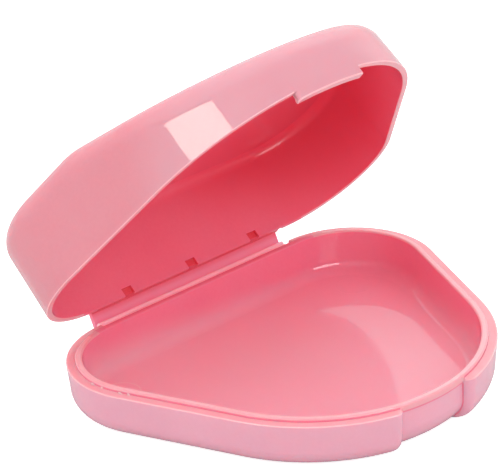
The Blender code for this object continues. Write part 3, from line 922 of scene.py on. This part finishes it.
def make_world():
    """Plain soft white surroundings, dimmer at the horizon; reflections also see an unlit side."""
    world = bpy.data.worlds.new("studio")
    bpy.context.scene.world = world
    world.use_nodes = True
    world.cycles.sampling_method = "NONE"
    nodes, links = world.node_tree.nodes, world.node_tree.links
    background = nodes["Background"]
    background.inputs["Color"].default_value = (1.0, 1.0, 1.0, 1.0)
    rays = nodes.new("ShaderNodeLightPath")
    direction = nodes.new("ShaderNodeTexCoord").outputs["Generated"]
    split = nodes.new("ShaderNodeSeparateXYZ")
    links.new(direction, split.inputs["Vector"])
    rise = map_range(nodes, links, split.outputs["Z"], *SKY_LEVELS, source=SKY_RISE, smooth=True)
    facing = nodes.new("ShaderNodeVectorMath")
    facing.operation = "DOT_PRODUCT"
    facing.inputs[1].default_value = UNLIT_SIDE
    links.new(direction, facing.inputs[0])
    mirrored_level = map_range(nodes, links, facing.outputs["Value"], *UNLIT_LEVELS,
                               source=UNLIT_REACH, smooth=True)
    level = rise
    for ray, seen in (("Is Glossy Ray", mirrored_level), ("Is Camera Ray", None)):
        choice = nodes.new("ShaderNodeMix")
        links.new(rays.outputs[ray], choice.inputs["Factor"])
        links.new(level, choice.inputs["A"])
        if seen is None:
            choice.inputs["B"].default_value = 1.0
        else:
            links.new(seen, choice.inputs["B"])
        level = choice.outputs["Result"]
    links.new(level, background.inputs["Strength"])


def gloss_lamp(name, azimuth, elevation, width, height, roll, level, colour):
    """Area light seen in gloss alone that faces the case; the azimuth turns left from the front."""
    turn, rise = math.radians(azimuth), math.radians(elevation)
    away = Vector((-math.sin(turn) * math.cos(rise), -math.cos(turn) * math.cos(rise), math.sin(rise)))
    light = bpy.data.lights.new(name, "AREA")
    light.shape = "RECTANGLE"
    light.size = width
    light.size_y = height
    light.energy = level * math.pi * width * height
    light.color = colour
    lamp = bpy.data.objects.new(name, light)
    lamp.location = away * LAMP_DISTANCE + Vector((0.0, 0.0, LAMP_AIM_HEIGHT))
    facing = away.to_track_quat("Z", "Y").to_matrix() @ Matrix.Rotation(math.radians(roll), 3, "Z")
    lamp.rotation_euler = facing.to_euler()
    lamp.visible_diffuse = False
    lamp.visible_camera = False
    bpy.context.scene.collection.objects.link(lamp)


def make_lights():
    """Window on the left that the lid reflects, and a low light in front that the tray's fillet does."""
    gloss_lamp("window", *WINDOW_LAMP)
    gloss_lamp("front", *FRONT_LAMP)


def make_camera():
    """Camera at the photograph's place and angle."""
    data = bpy.data.cameras.new("camera")
    data.sensor_fit = "HORIZONTAL"
    data.sensor_width = SENSOR_WIDTH
    data.lens = CAMERA_LENS
    data.clip_start = 0.01
    data.clip_end = 100.0
    camera = bpy.data.objects.new("camera", data)
    camera.location = CAMERA_PLACE
    camera.rotation_euler = [math.radians(angle) for angle in CAMERA_TURN]
    bpy.context.scene.collection.objects.link(camera)
    bpy.context.scene.camera = camera


def main():
    make_camera()
    shared_finishes = (polypropylene("pink_edge_highlight", *EDGE_HIGHLIGHT_COLOURS, 9.0, glow=EDGE_HIGHLIGHT_GLOW),
                       polypropylene("pink_rim_painted_light", *RIM_PAINTED_LIGHT_COLOURS, 17.0),
                       polypropylene("pink_painted_shade", *PAINTED_SHADE_COLOURS, 15.0))
    tray_finishes = (polypropylene("pink_tray_outside", *TRAY_OUTSIDE, 3.0),
                     polypropylene("pink_tray_inside", *TRAY_INSIDE, 5.0, glow=TRAY_GLOW,
                                   painted_drift=TRAY_PAINTED_LIGHT_DRIFT),
                     *shared_finishes,
                     polypropylene("pink_fold_whitened_highlight", *FOLD_WHITENED_HIGHLIGHT_COLOURS, 19.0, glow=FOLD_WHITENED_HIGHLIGHT_GLOW),
                     polypropylene("pink_crease_painted_shade", *CREASE_PAINTED_SHADE_COLOURS, 23.0))
    lid_finishes = (polypropylene("pink_lid_outside", *LID_OUTSIDE, 11.0, painted_drift=LID_PAINTED_LIGHT_DRIFT),
                    polypropylene("pink_lid_inside", *LID_INSIDE, 13.0, (0.14, 0.20), 0.3,
                                  painted_drift=LID_INSIDE_PAINTED_SHADE_DRIFT),
                    *shared_finishes)
    strap_finishes = (polypropylene("pink_strap_outside", *LID_OUTSIDE, 21.0),
                      polypropylene("pink_strap", *STRAP_SHADED_COLOURS, 7.0, glow=STRAP_GLOW,
                                    painted_drift=STRAP_PAINTED_SHADOW_DRIFT))
    tray = make_tray(tray_finishes)
    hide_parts("base_tray")
    # The flash takes the edge finish, a painted highlight.
    flash = make_flash(shared_finishes[:1])
    for piece in (tray, flash):
        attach(piece, "tray")
    strap = make_strap(strap_finishes)
    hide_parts("hinge_strap")
    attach(strap, "strap")
    lid = make_lid(lid_finishes)
    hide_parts("lid_shell")
    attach(lid, "lid")
    films = (make_film("tray_fold_film", tray_matrix(), tray_fold(), "tray", strap_finishes),
             make_film("lid_fold_film", lid_matrix(), lid_fold(), "lid", strap_finishes))
    make_stage()
    make_world()
    make_lights()
    bpy.context.scene.view_settings.view_transform = "Standard"


main()
